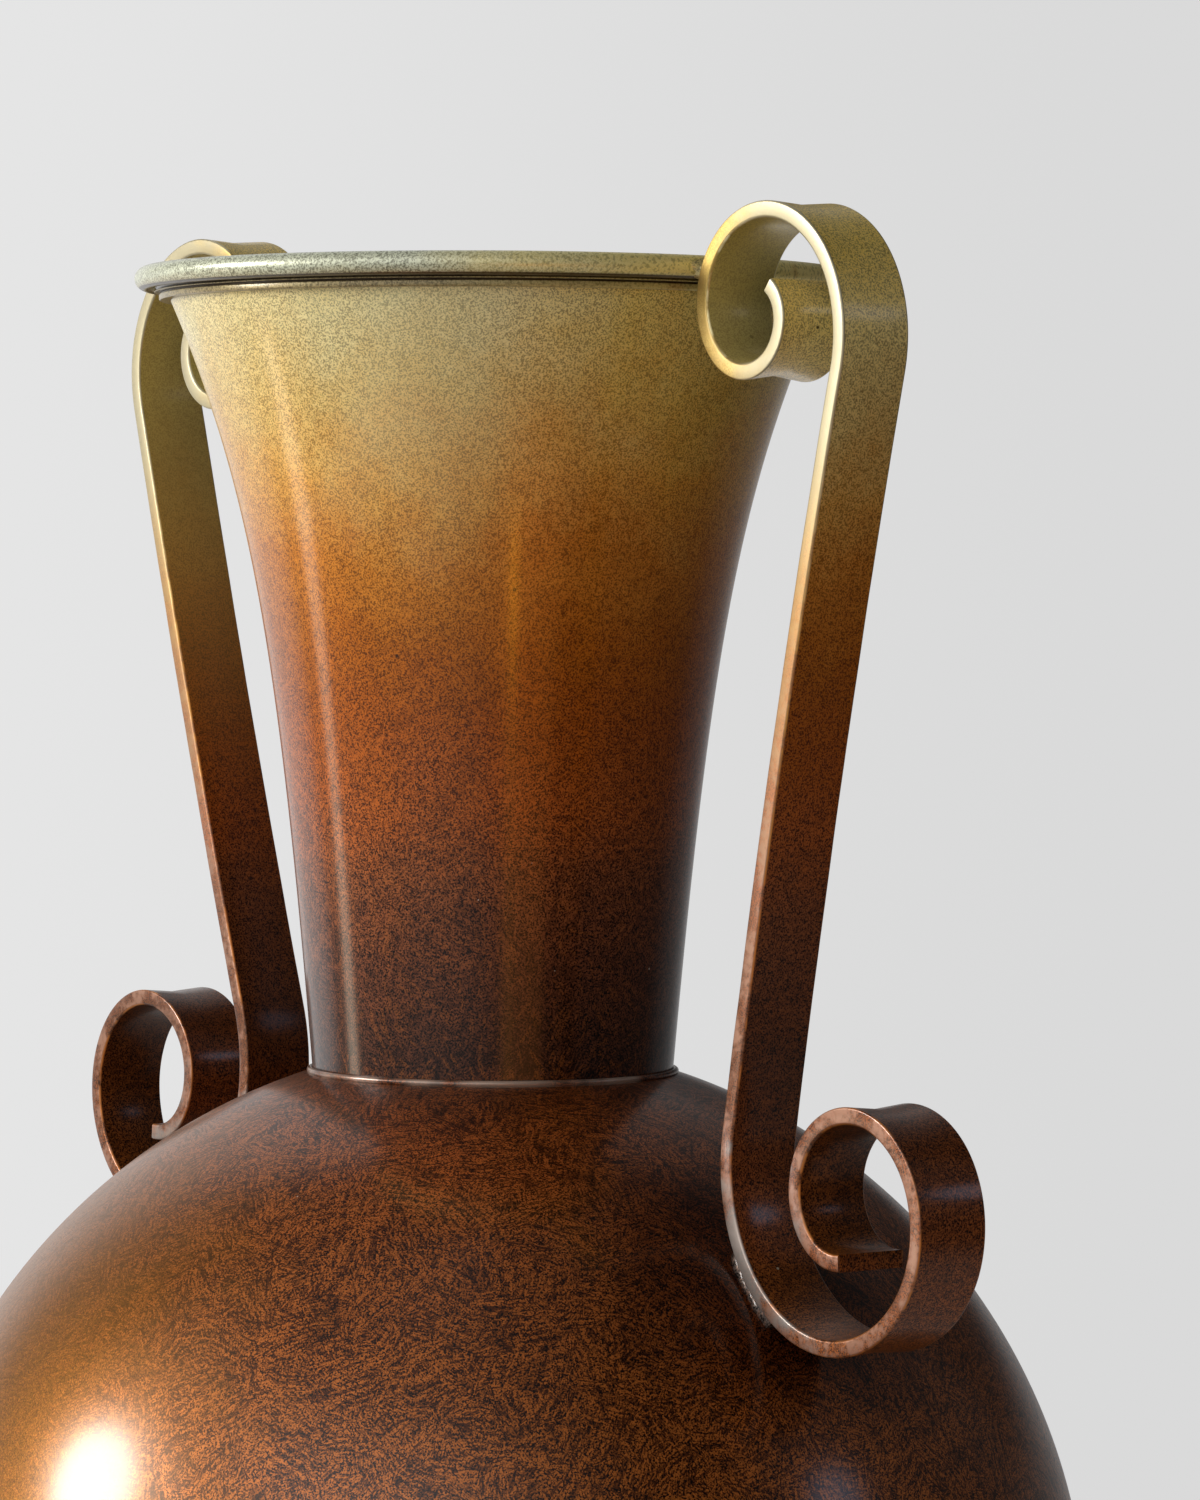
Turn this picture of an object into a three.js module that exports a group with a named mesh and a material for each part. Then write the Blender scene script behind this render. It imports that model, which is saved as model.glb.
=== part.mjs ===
// A patinated bronze vase: a globe body, a trumpet neck with a moulded rim, a turned foot
// and two strap handles that end in scrolls. The pieces are soldered together.
// Millimetres, +Z up. The origin is on the vase's axis, on the surface it stands on.
// The handles lie in the XZ plane, the right one on +X.

import * as THREE from 'three';

// Fit between neighbouring pieces, filled by a film of solder on the real vase
const FIT = 0.3;

// Globe body
const BODY_RADIUS = 110;
const BODY_WALL = 1.6;

// Foot ring and base plate
const FOOT_HEIGHT = 9;
const FOOT_WAIST_RADIUS = 51;
const FOOT_SPREAD = 3.5;
const FOOT_EDGE_ROUND = 1.4;
const FOOT_SEAT_WIDTH = 6.5;
const BASE_THICKNESS = 1.8;
const BASE_LEDGE = 2;

// Trumpet neck: flare is the gain in radius per millimetre of height,
// and reach is the height over which the profile follows that flare
const NECK_HEIGHT = 141.5;
const NECK_BASE_RADIUS = 33.2;
const NECK_LIP_RADIUS = 60.1;
const NECK_BASE_FLARE = 0.084;
const NECK_BASE_REACH = 80.5;
const NECK_LIP_FLARE = 0.431;
const NECK_LIP_REACH = 33.4;
const NECK_WALL = 2;
const SPIGOT_DEPTH = 6;
const SPIGOT_STEP = 1;
const SEAM_LEG = 2;
const SEAM_THROAT = 0.5;

// Rim ring: a bead that overhangs the lip, above two steps
const BEAD_RADIUS = 2.1;
const BEAD_OVERHANG = 4;
const BEAD_RISE = 2.7;
const RIM_STEP_HEIGHT = 1.1;
const RIM_STEP_WIDTH = 1.2;
const RIM_TOP_FALL = 0.5;
const RIM_INNER_ROUND = 0.8;

// Strap handles. A scroll's radius shrinks by its taper in each quarter turn.
const STRAP_WIDTH = 14;
const STRAP_THICKNESS = 3;
const STRAP_CHAMFER = 0.4;
const RIM_SCROLL_TAPER = 0.754;
const RIM_SCROLL_END = 405;
const RIM_CONTACT_ANGLE = -18;
const SHOULDER_SCROLL_TAPER = 0.795;
const SHOULDER_SCROLL_END = 628;

// The straps are bent by hand, so the two differ. A seat is where the lower scroll rests, measured
// up from the body's equator. A bow is how far each end of the run between the scrolls is turned
// to make it bulge, outwards where it is positive.
const RIGHT_RIM_SCROLL_RADIUS = 14.4;
const RIGHT_SHOULDER_SCROLL_RADIUS = 28.1;
const RIGHT_SEAT_ANGLE = 41.2;
const RIGHT_BOW = -2.1;
const LEFT_RIM_SCROLL_RADIUS = 15.7;
const LEFT_SHOULDER_SCROLL_RADIUS = 29;
const LEFT_SEAT_ANGLE = 44.8;
const LEFT_BOW = 1.5;

// Solder under the straps
const RIM_SOLDER_THICKNESS = 2.1;
const RIM_SOLDER_HEIGHT = 4.4;
const RIM_SOLDER_WIDTH = 9;
const RIM_SOLDER_WRAP = 40;
const SHOULDER_SOLDER_THICKNESS = 0.3;
const SHOULDER_SOLDER_LENGTH = 14;
const SHOULDER_SOLDER_LIP = 1;

// Facets
const RING_SEGMENTS = 48;
const BODY_ARC_STEPS = 9;
const NECK_CURVE_STEPS = 14;
const RIM_ARC_STEPS = 5;
const FOOT_CURVE_STEPS = 2;
const SEAM_CURVE_STEPS = 3;
const SCROLL_STEP = 12;
const RUN_STEPS = 4;

// Places that follow from the sizes above
const bodyCentre = FOOT_HEIGHT + Math.sqrt(BODY_RADIUS ** 2 - FOOT_WAIST_RADIUS ** 2);
const baseOpening = FOOT_WAIST_RADIUS - FOOT_SEAT_WIDTH;
const spigotRadius = NECK_BASE_RADIUS - SPIGOT_STEP;
const mouthRadius = spigotRadius + FIT;
const neckBore = NECK_BASE_RADIUS - NECK_WALL;
const neckBase = shoulderHeight(spigotRadius) + FIT;
const neckLip = neckBase + NECK_HEIGHT;
const beadCentre = new THREE.Vector2(NECK_LIP_RADIUS + BEAD_OVERHANG, neckLip + BEAD_RISE);

// Height of the body's upper surface at a distance from the axis
function shoulderHeight(radius) {
  return bodyCentre + Math.sqrt(BODY_RADIUS ** 2 - radius ** 2);
}

function polar(length, angle) {
  return new THREE.Vector2(length * Math.cos(angle), length * Math.sin(angle));
}

// A ring or vessel turned about the vase's axis from a closed profile of radius and height
function turned(profile, steps) {
  profile.autoClose = true;
  const geometry = new THREE.LatheGeometry(profile.getPoints(steps), RING_SEGMENTS);
  return geometry.rotateX(Math.PI / 2);
}

// A bar with the given side outline, centred across the handle's plane
function barAcross(outline, width, chamfer = 0) {
  const geometry = new THREE.ExtrudeGeometry(new THREE.Shape(outline), {
    depth: width - 2 * chamfer,
    bevelEnabled: chamfer > 0,
    bevelThickness: chamfer,
    bevelSize: chamfer,
    bevelOffset: -chamfer,
    bevelSegments: 1,
  });
  geometry.translate(0, 0, chamfer - width / 2);
  return geometry.rotateX(Math.PI / 2);
}

function globeBody() {
  const inner = BODY_RADIUS - BODY_WALL;
  const profile = new THREE.Path();
  profile.absarc(0, bodyCentre, BODY_RADIUS, -Math.acos(baseOpening / BODY_RADIUS),
    Math.acos(mouthRadius / BODY_RADIUS), false);
  profile.absarc(0, bodyCentre, inner, Math.acos(mouthRadius / inner),
    -Math.acos(baseOpening / inner), true);
  return turned(profile, BODY_ARC_STEPS);
}

// The ring's top is hollowed to the globe, and a ledge inside it carries the base plate
function footRing() {
  const seat = BODY_RADIUS + FIT;
  const outer = FOOT_WAIST_RADIUS + FOOT_SPREAD;
  const plateBore = baseOpening + BASE_LEDGE;
  const waistTop = bodyCentre - Math.sqrt(seat ** 2 - FOOT_WAIST_RADIUS ** 2);
  const profile = new THREE.Path();
  profile.moveTo(plateBore, 0);
  profile.absarc(outer - FOOT_EDGE_ROUND, FOOT_EDGE_ROUND, FOOT_EDGE_ROUND, -Math.PI / 2, 0, false);
  profile.quadraticCurveTo(FOOT_WAIST_RADIUS, 2 * FOOT_EDGE_ROUND, FOOT_WAIST_RADIUS, waistTop);
  profile.absarc(0, bodyCentre, seat, -Math.acos(FOOT_WAIST_RADIUS / seat),
    -Math.acos(baseOpening / seat), true);
  profile.lineTo(baseOpening, BASE_THICKNESS + FIT);
  profile.lineTo(plateBore, BASE_THICKNESS + FIT);
  return turned(profile, FOOT_CURVE_STEPS);
}

function basePlate() {
  const radius = baseOpening + BASE_LEDGE - FIT;
  const profile = new THREE.Path();
  profile.moveTo(0, 0);
  profile.lineTo(radius, 0);
  profile.lineTo(radius, BASE_THICKNESS);
  profile.lineTo(0, BASE_THICKNESS);
  return turned(profile, 1);
}

function neckTrumpet() {
  const spigotEnd = neckBase - SPIGOT_DEPTH;
  const baseTurn = NECK_BASE_FLARE * NECK_BASE_REACH;
  const lipTurn = NECK_LIP_FLARE * NECK_LIP_REACH;
  const baseTurnHeight = neckBase + NECK_BASE_REACH;
  const lipTurnHeight = neckLip - NECK_LIP_REACH;
  const lipBore = NECK_LIP_RADIUS - NECK_WALL;
  const profile = new THREE.Path();
  profile.moveTo(neckBore, spigotEnd);
  profile.lineTo(spigotRadius, spigotEnd);
  profile.lineTo(spigotRadius, neckBase);
  profile.lineTo(NECK_BASE_RADIUS, neckBase);
  profile.bezierCurveTo(NECK_BASE_RADIUS + baseTurn, baseTurnHeight,
    NECK_LIP_RADIUS - lipTurn, lipTurnHeight, NECK_LIP_RADIUS, neckLip);
  profile.lineTo(lipBore, neckLip);
  profile.bezierCurveTo(lipBore - lipTurn, lipTurnHeight,
    neckBore + baseTurn, baseTurnHeight, neckBore, neckBase);
  return turned(profile, NECK_CURVE_STEPS);
}

// A hollow fillet in the corner between the neck and the body
function neckSeam() {
  const corner = NECK_BASE_RADIUS + FIT;
  const cornerHeight = shoulderHeight(corner) + FIT;
  const top = cornerHeight + SEAM_LEG;
  const topRadius = corner + NECK_BASE_FLARE * (top - neckBase);
  const edge = corner + SEAM_LEG;
  const profile = new THREE.Path();
  profile.moveTo(corner, cornerHeight);
  profile.lineTo(edge, shoulderHeight(edge) + FIT);
  profile.quadraticCurveTo(corner + SEAM_THROAT, cornerHeight + SEAM_THROAT, topRadius, top);
  return turned(profile, SEAM_CURVE_STEPS);
}

// The ring sits on the lip, and its skirt follows the flare down to the lower step
function rimRing() {
  const upperStep = beadCentre.x - RIM_STEP_WIDTH;
  const lowerStep = upperStep - RIM_STEP_WIDTH;
  const beadStart = -Math.acos(-RIM_STEP_WIDTH / BEAD_RADIUS);
  const beadFoot = beadCentre.y + BEAD_RADIUS * Math.sin(beadStart);
  const skirt = beadFoot - 2 * RIM_STEP_HEIGHT;
  const seat = neckLip + FIT;
  const skirtBore = NECK_LIP_RADIUS + FIT - NECK_LIP_FLARE * (neckLip - skirt);
  const lipBore = NECK_LIP_RADIUS - NECK_WALL;
  const innerTop = beadCentre.y + BEAD_RADIUS - RIM_TOP_FALL;
  const innerEdge = lipBore + NECK_LIP_FLARE * (innerTop - seat);
  const profile = new THREE.Path();
  profile.moveTo(skirtBore, skirt);
  profile.lineTo(lowerStep, skirt);
  profile.lineTo(lowerStep, skirt + RIM_STEP_HEIGHT);
  profile.lineTo(upperStep, skirt + RIM_STEP_HEIGHT);
  profile.absarc(beadCentre.x, beadCentre.y, BEAD_RADIUS, beadStart, Math.PI / 2, false);
  profile.lineTo(innerEdge + RIM_INNER_ROUND, innerTop);
  profile.lineTo(innerEdge, innerTop - RIM_INNER_ROUND);
  profile.lineTo(lipBore, seat);
  profile.lineTo(NECK_LIP_RADIUS + FIT, seat);
  return turned(profile, RIM_ARC_STEPS);
}

// A scroll is a logarithmic spiral about a centre, wound anticlockwise in the handle's plane.
// Its middle line passes through touch, and there faces away from what it rests on.
function scroll(touch, facing, radius, taper) {
  const tightening = -Math.log(taper) / (Math.PI / 2);
  const lead = Math.atan(tightening);
  const touchAngle = facing + Math.PI - lead;
  const centre = touch.clone().sub(polar(radius, touchAngle));
  const radiusAt = (angle) => radius * Math.exp(tightening * (touchAngle - angle));
  const point = (angle, outward = 0) => polar(radiusAt(angle), angle)
    .add(polar(outward, angle + lead))
    .add(centre);
  return { lead, touchAngle, radius, point };
}

function rimScroll(radius) {
  const facing = THREE.MathUtils.degToRad(RIM_CONTACT_ANGLE);
  const standOff = BEAD_RADIUS + RIM_SOLDER_THICKNESS + 2 * FIT + STRAP_THICKNESS / 2;
  const touch = polar(standOff, facing).add(beadCentre);
  return scroll(touch, facing, radius, RIM_SCROLL_TAPER);
}

function shoulderScroll(radius, seatAngle) {
  const facing = THREE.MathUtils.degToRad(seatAngle);
  const standOff = BODY_RADIUS + SHOULDER_SOLDER_THICKNESS + 2 * FIT + STRAP_THICKNESS / 2;
  const touch = polar(standOff, facing).add(new THREE.Vector2(0, bodyCentre));
  return scroll(touch, facing, radius, SHOULDER_SCROLL_TAPER);
}

// Where the run leaves each scroll along its tangent, found by repeated correction of its lean
function runStarts(upper, lower, bow) {
  const passes = 40;
  let lean = 0;
  let starts = {};
  for (let pass = 0; pass < passes; pass += 1) {
    starts = { upper: bow - lean - upper.lead, lower: Math.PI - bow - lean - lower.lead };
    const top = upper.point(starts.upper);
    const bottom = lower.point(starts.lower);
    lean = Math.atan2(top.x - bottom.x, top.y - bottom.y);
  }
  return starts;
}

function scrollFace(spiral, start, end, outward) {
  const steps = Math.ceil((end - start) / THREE.MathUtils.degToRad(SCROLL_STEP));
  const points = [];
  for (let step = 0; step <= steps; step += 1) {
    points.push(spiral.point(start + (end - start) * step / steps, outward));
  }
  return points;
}

// The inner points of a shallow curve down from one scroll to the other
function runFace(top, bottom, bow) {
  const fall = bottom.clone().sub(top);
  const outward = new THREE.Vector2(-fall.y, fall.x).multiplyScalar(Math.tan(bow) / 2);
  const peak = top.clone().lerp(bottom, 0.5).add(outward);
  return new THREE.QuadraticBezierCurve(top, peak, bottom).getPoints(RUN_STEPS).slice(1, -1);
}

// The outer face of the upper scroll runs on as the inner face of the lower one
function strapHandle(upper, lower, bow) {
  const starts = runStarts(upper, lower, bow);
  const upperEnd = THREE.MathUtils.degToRad(RIM_SCROLL_END);
  const lowerEnd = THREE.MathUtils.degToRad(SHOULDER_SCROLL_END);
  const half = STRAP_THICKNESS / 2;
  const upperOuter = scrollFace(upper, starts.upper, upperEnd, half);
  const upperInner = scrollFace(upper, starts.upper, upperEnd, -half);
  const lowerOuter = scrollFace(lower, starts.lower, lowerEnd, half);
  const lowerInner = scrollFace(lower, starts.lower, lowerEnd, -half);
  const outline = [
    ...upperOuter.toReversed(),
    ...runFace(upperOuter[0], lowerInner[0], bow),
    ...lowerInner,
    ...lowerOuter.toReversed(),
    ...runFace(upperInner[0], lowerOuter[0], bow).reverse(),
    ...upperInner,
  ];
  return barAcross(outline, STRAP_WIDTH, STRAP_CHAMFER);
}

// Solder wraps the bead on one side and lies along the scroll on the other
function rimSolder(upper) {
  const face = STRAP_THICKNESS / 2 + FIT;
  const spread = RIM_SOLDER_HEIGHT / 2 / upper.radius;
  const wrap = THREE.MathUtils.degToRad(RIM_SOLDER_WRAP);
  const facing = THREE.MathUtils.degToRad(RIM_CONTACT_ANGLE);
  const outline = [];
  for (const side of [1, 0, -1]) {
    outline.push(upper.point(upper.touchAngle + side * spread, face));
  }
  for (const side of [1, 0.5, 0, -0.5, -1]) {
    outline.push(polar(BEAD_RADIUS + FIT, facing + side * wrap).add(beadCentre));
  }
  return barAcross(outline, RIM_SOLDER_WIDTH);
}

// Solder fills the narrow wedge between the globe and the lower scroll
function shoulderSolder(lower, seatAngle) {
  const face = STRAP_THICKNESS / 2 + FIT;
  const reach = SHOULDER_SOLDER_LENGTH / 2;
  const facing = THREE.MathUtils.degToRad(seatAngle);
  const middle = new THREE.Vector2(0, bodyCentre);
  const outline = [];
  for (const side of [-1, -0.5, 0, 0.5, 1]) {
    outline.push(lower.point(lower.touchAngle + side * reach / lower.radius, face));
  }
  for (const side of [-1, -0.5, 0, 0.5, 1]) {
    outline.push(polar(BODY_RADIUS + FIT, facing + side * reach / BODY_RADIUS).add(middle));
  }
  return barAcross(outline, STRAP_WIDTH + 2 * SHOULDER_SOLDER_LIP);
}

function bronze(color, roughness) {
  return new THREE.MeshStandardMaterial({ color, roughness, metalness: 0.85 });
}

function piece(name, geometry, material) {
  const mesh = new THREE.Mesh(geometry, material);
  mesh.name = name;
  return mesh;
}

function handle(side, rimRadius, shoulderRadius, seatAngle, bow) {
  const upper = rimScroll(rimRadius);
  const lower = shoulderScroll(shoulderRadius, seatAngle);
  const bend = THREE.MathUtils.degToRad(bow);
  const group = new THREE.Group();
  group.add(
    piece(`handle_${side}`, strapHandle(upper, lower, bend), bronze(0x6b4a26, 0.36)),
    piece(`rim_solder_${side}`, rimSolder(upper), bronze(0xb49a55, 0.5)),
    piece(`shoulder_solder_${side}`, shoulderSolder(lower, seatAngle), bronze(0x4a3a30, 0.5)),
  );
  return group;
}

const rightHandle = handle('right', RIGHT_RIM_SCROLL_RADIUS, RIGHT_SHOULDER_SCROLL_RADIUS,
  RIGHT_SEAT_ANGLE, RIGHT_BOW);
const leftHandle = handle('left', LEFT_RIM_SCROLL_RADIUS, LEFT_SHOULDER_SCROLL_RADIUS,
  LEFT_SEAT_ANGLE, LEFT_BOW);
leftHandle.rotation.z = Math.PI;

const vase = new THREE.Group();
vase.add(
  piece('globe_body', globeBody(), bronze(0x542a14, 0.32)),
  piece('foot_ring', footRing(), bronze(0x3a1c10, 0.36)),
  piece('base_plate', basePlate(), bronze(0x4a2c1a, 0.5)),
  piece('neck_trumpet', neckTrumpet(), bronze(0x8c5620, 0.34)),
  piece('neck_seam', neckSeam(), bronze(0x6a3a1c, 0.4)),
  piece('rim_ring', rimRing(), bronze(0x8e8452, 0.38)),
  rightHandle,
  leftHandle,
);

export default vase;
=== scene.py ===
# %% [markdown]
# # A patinated bronze vase
# The vase is a hollow globe, a trumpet neck with a moulded rim, a turned foot, and two flat straps bent
# into scrolls. The pieces were soldered together, and heat and acids then coloured the metal: pale olive
# gold at the rim, orange below it, and red-brown with feathery flakes on the globe. A thin clear lacquer
# keeps that colour. The frame holds plain solids of every piece at its real size and place, and this
# lesson gives each of them a finer mesh and its finish.

# %% The frame
import math
from collections import namedtuple

import bpy
import numpy as np
from mathutils import Matrix, Vector


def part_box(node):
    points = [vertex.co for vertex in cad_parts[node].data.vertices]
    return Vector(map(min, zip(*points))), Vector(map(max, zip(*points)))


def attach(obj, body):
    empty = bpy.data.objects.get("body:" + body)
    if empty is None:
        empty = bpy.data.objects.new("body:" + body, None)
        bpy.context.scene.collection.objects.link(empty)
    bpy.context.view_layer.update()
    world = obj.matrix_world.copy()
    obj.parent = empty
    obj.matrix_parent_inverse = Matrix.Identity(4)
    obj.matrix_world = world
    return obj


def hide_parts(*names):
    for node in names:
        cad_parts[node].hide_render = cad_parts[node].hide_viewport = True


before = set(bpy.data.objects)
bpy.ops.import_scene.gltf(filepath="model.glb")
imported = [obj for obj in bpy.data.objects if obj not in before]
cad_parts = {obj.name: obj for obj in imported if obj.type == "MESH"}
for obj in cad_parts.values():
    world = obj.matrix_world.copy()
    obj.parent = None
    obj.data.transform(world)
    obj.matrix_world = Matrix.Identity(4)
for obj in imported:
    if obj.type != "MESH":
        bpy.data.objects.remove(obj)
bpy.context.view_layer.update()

MM = 0.001
print("nodes:", sorted(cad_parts))

# %% [markdown]
# ## The camera
# A long lens from just above the level of the rim shows the neck almost without perspective. The view is
# set by where the camera stands round the vase and how far it turns from looking straight at the axis.
# Three turns in a fixed order, heading, pitch and roll, are easier to read than an aimed constraint.

# %% Place the camera
CAMERA_AZIMUTH = 53.4
CAMERA_DISTANCE = 1091.1
CAMERA_HEIGHT = 299.1
CAMERA_YAW = 1.020
CAMERA_PITCH = -1.509
CAMERA_ROLL = 0.281
LENS = 142.5

scene = bpy.context.scene
heading = math.radians(CAMERA_AZIMUTH)
TO_CAMERA = Vector((math.sin(heading), -math.cos(heading), 0))
TO_RIGHT = Vector((math.cos(heading), math.sin(heading), 0))
UP = Vector((0, 0, 1))


def turn(degrees, axis):
    return Matrix.Rotation(math.radians(degrees), 4, axis)


camera = bpy.data.objects.new("camera", bpy.data.cameras.new("camera"))
scene.collection.objects.link(camera)
camera.data.lens = LENS
stand = Matrix.Translation((TO_CAMERA * CAMERA_DISTANCE + UP * CAMERA_HEIGHT) * MM)
aim = turn(CAMERA_AZIMUTH - CAMERA_YAW, "Z") @ turn(90 + CAMERA_PITCH, "X") @ turn(CAMERA_ROLL, "Z")
camera.matrix_world = stand @ aim
scene.camera = camera
print("camera at", [round(x, 3) for x in camera.matrix_world.translation])

# %% [markdown]
# ## Node maths
# Shader and geometry nodes are wired by hand in the editor. In a script it is clearer to write their maths
# as expressions, so one small class wraps a socket: an operator adds a Math node, and the method node adds
# any other kind. The same class serves materials, the world and Geometry Nodes.


# %% A socket that takes part in expressions
class Wire:
    """An output socket of a node tree. Arithmetic on it adds Math nodes to that tree."""

    def __init__(self, tree, socket=None):
        self.tree = tree
        self.socket = socket

    def node(self, kind, settings=None, sockets=None, output=0):
        """Adds a node, sets it up, fills or links its sockets and returns one of its outputs."""
        made = self.tree.nodes.new(kind)
        for name, value in (settings or {}).items():
            if name == "stops":
                fill_ramp(made.color_ramp, value)
            else:
                setattr(made, name, value)
        for key, value in (sockets or {}).items():
            if isinstance(value, Wire):
                self.tree.links.new(value.socket, made.inputs[key])
            else:
                made.inputs[key].default_value = value
        return Wire(self.tree, made.outputs[output] if made.outputs else None)

    def other(self, output):
        """Another output of the same node."""
        return Wire(self.tree, self.socket.node.outputs[output])

    def math(self, operation, *values):
        return self.node("ShaderNodeMath", {"operation": operation}, dict(enumerate((self, *values))))

    def __add__(self, value):
        return self.math("ADD", value)

    __radd__ = __add__

    def __mul__(self, value):
        return self.math("MULTIPLY", value)

    __rmul__ = __mul__

    def __sub__(self, value):
        return self.math("SUBTRACT", value)

    def __rsub__(self, value):
        return self.node("ShaderNodeMath", {"operation": "SUBTRACT"}, {0: value, 1: self})

    def __truediv__(self, value):
        return self.math("DIVIDE", value)

    def __rtruediv__(self, value):
        return self.node("ShaderNodeMath", {"operation": "DIVIDE"}, {0: value, 1: self})

    def __neg__(self):
        return self * -1

    def __abs__(self):
        return self.math("ABSOLUTE")

    def between(self, low, high, first=0.0, last=1.0):
        """A smooth step from first to last as the value goes from low to high."""
        return self.node("ShaderNodeMapRange", {"interpolation_type": "SMOOTHSTEP"},
                         {0: self, 1: low, 2: high, 3: first, 4: last})

    def vector(self, operation, *values, output=0):
        return self.node("ShaderNodeVectorMath", {"operation": operation},
                         dict(enumerate((self, *values))), output)

    def dot(self, way):
        """How far this vector reaches along another."""
        return self.vector("DOT_PRODUCT", way, output="Value")

    def part(self, axis):
        """One coordinate of this vector, by its letter."""
        return self.node("ShaderNodeSeparateXYZ", sockets={0: self}, output=axis)

    def scaled(self, factor):
        return self.node("ShaderNodeVectorMath", {"operation": "SCALE"}, {0: self, "Scale": factor})

    def blend(self, colour, share, mode="MIX"):
        """This colour with another laid over it, by a share from 0 to 1."""
        return self.node("ShaderNodeMix", {"data_type": "RGBA", "blend_type": mode},
                         {0: share, 6: self, 7: colour}, 2)


def fill_ramp(ramp, stops):
    """Gives a colour ramp its stops, as pairs of place and colour."""
    while len(ramp.elements) < len(stops):
        ramp.elements.new(1.0)
    for element, (place, colour) in zip(ramp.elements, stops):
        element.position = place
        element.color = colour


def tone(card):
    """A colour from its six hexadecimal digits, in the linear values that nodes use."""
    parts = [int(card[place:place + 2], 16) / 255 for place in (1, 3, 5)]
    return (*[x / 12.92 if x <= 0.04045 else ((x + 0.055) / 1.055) ** 2.4 for x in parts], 1.0)


print("patina sample:", [round(x, 3) for x in tone("#8c5620")])

# %% [markdown]
# ## The studio
# Polished metal shows the room as much as its own colour. The vase stands before a pale wall, with a tall
# softbox far to the left, and the room in front of it and to its right is dim. The world plays that room:
# ramps round the horizon hold the wall on both sides, a low white board and the bright left, and each is
# dimmed by height, which is the sine of the angle above the horizon. The camera itself sees a plain pale
# grey, so the background stays even from every side.

# %% The room as a world
BACK_WALL = ((0.00, 0.55), (0.05, 0.90), (0.08, 0.90), (0.125, 0.0))
LEFT_BOARD = ((0.08, 0.0), (0.13, 1.10), (0.18, 0.95), (0.22, 0.30), (0.25, 0.0))
RIGHT_WALL = ((0.80, 0.0), (0.855, 0.09), (0.91, 0.20), (0.95, 0.35), (1.00, 0.55))
LEFT_RING = ((0.18, 0.0), (0.26, 0.95), (0.30, 1.00), (0.38, 1.60), (0.46, 1.25), (0.53, 0.25), (0.60, 0.0))
LOW_SHARE = 0.23
DOME = 0.09
GLOOM = 0.03
SEEN_LEFT = 0.79
SEEN_RIGHT = 0.70

world = bpy.data.worlds.new("studio")
scene.world = world
world.use_nodes = True
world.node_tree.nodes.clear()
room = Wire(world.node_tree)
ray = room.node("ShaderNodeTexCoord", output="Generated")
across = ray.dot(TO_RIGHT)
towards = ray.dot(TO_CAMERA)
height = ray.dot(UP)
round_room = across.math("ARCTAN2", towards) / math.tau + 0.5


def ring_light(levels):
    """Brightness round the horizon. Half a turn is the camera's own side, and a quarter is its left."""
    stops = [(at, (level, level, level, 1)) for at, level in levels]
    return round_room.node("ShaderNodeValToRGB", {"stops": stops}, {"Fac": round_room})


off_middle = (across * across + height * height) / (towards * towards).math("MAXIMUM", 0.05)
back_wall = ring_light(BACK_WALL) * height.between(0.10, 0.45, 1.0, 0.8)
left_board = ring_light(LEFT_BOARD) * height.between(0.02, 0.28, 1.0, 0.12)
left_wall = (back_wall + left_board) * height.between(-0.6, -0.2, 1.4, 1.0)
right_levels = height.between(0.02, 0.16, 1.0, 0.06) + height.between(0.34, 0.52, 0.0, 0.5)
right_wall = ring_light(RIGHT_WALL) * right_levels * height.between(-0.6, -0.3, 6.0, 1.0)
wall_light = (left_wall + right_wall) * off_middle.between(1.5, 7.0, 1.0, 0.1)
left_light = ring_light(LEFT_RING) * height.between(-0.14, 0.10, LOW_SHARE, 1.0)
left_light = left_light * height.between(0.48, 0.88, 1.0, 0.15)
dark_corner = across.between(0.15, 0.35, 0.0, 0.8) * across.between(0.66, 0.80, 1.0, 0.0)
dome_light = height.between(-0.05, 0.35, GLOOM, DOME) * (1 - dark_corner)
room_light = wall_light + left_light + dome_light
plain_wall = across.between(-0.12, 0.12, SEEN_LEFT, SEEN_RIGHT)
camera_ray = room.node("ShaderNodeLightPath", output="Is Camera Ray")
shown = room_light + (plain_wall - room_light) * camera_ray
sky = shown.node("ShaderNodeBackground", sockets={"Color": (1, 1, 1, 1), "Strength": shown})
sky.node("ShaderNodeOutputWorld", sockets={"Surface": sky})
print("room nodes:", len(world.node_tree.nodes))

# %% [markdown]
# The lamps are area lamps, placed by the direction that the vase sees them from. A lamp's strength is
# written as its brightness, and the watts follow from its area, so a lamp can change size without a change
# in the highlight. The softbox at the left makes the white spot on the globe, and a dim narrow strip below
# it draws the fine line down the neck. Low in front, a warm strip stands for a bright patch of the table:
# it draws the short golden line in the middle of the neck. A cool window far to the right leaves a faint
# spot on that side of the globe.

# %% Softboxes
AIM_HEIGHT = 220


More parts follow.
